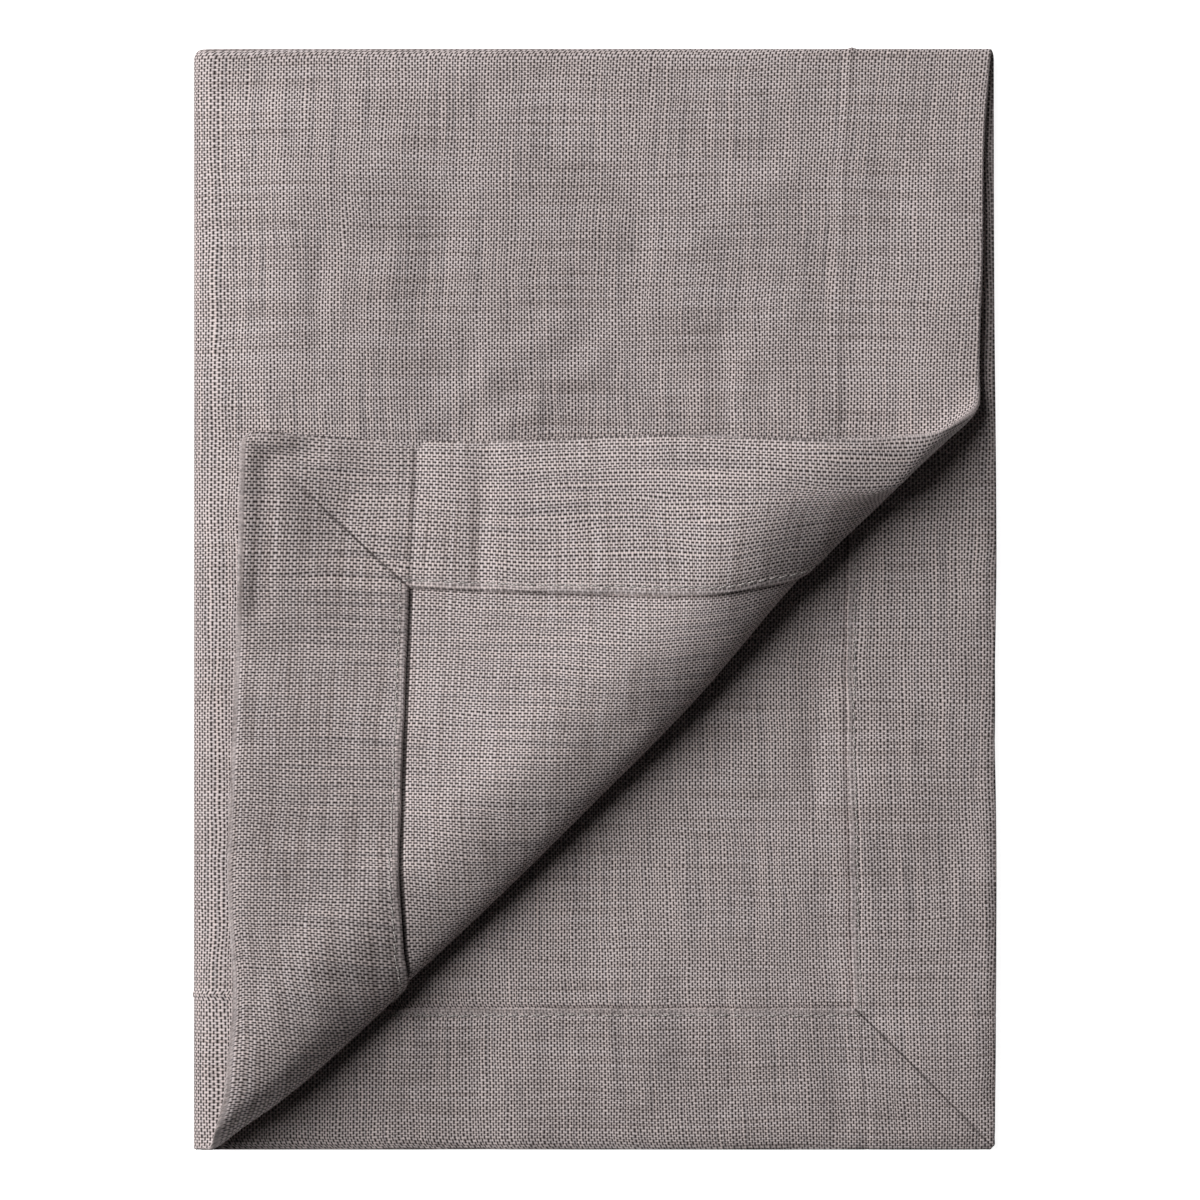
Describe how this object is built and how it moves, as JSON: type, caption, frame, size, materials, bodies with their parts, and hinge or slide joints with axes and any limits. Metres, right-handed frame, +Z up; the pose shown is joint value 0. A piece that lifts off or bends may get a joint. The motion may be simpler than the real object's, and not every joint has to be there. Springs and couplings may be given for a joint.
{
  "type": "folded placemat",
  "caption": "Plain-weave linen placemat with a wide mitred hem, folded to a flat rectangle with its free top corner rolled back.",
  "frame": {"origin": "under the middle of the folded cloth, on the surface that it rests on", "axes": "+X from the side fold to the free side edges, +Y to the cross fold, +Z up"},
  "size_m": [0.175, 0.2408, 0.0322],
  "materials": {
    "linen": "matte"
  },
  "bodies": {
    "root": {"placemat": "linen"}
  },
  "joints": []
}
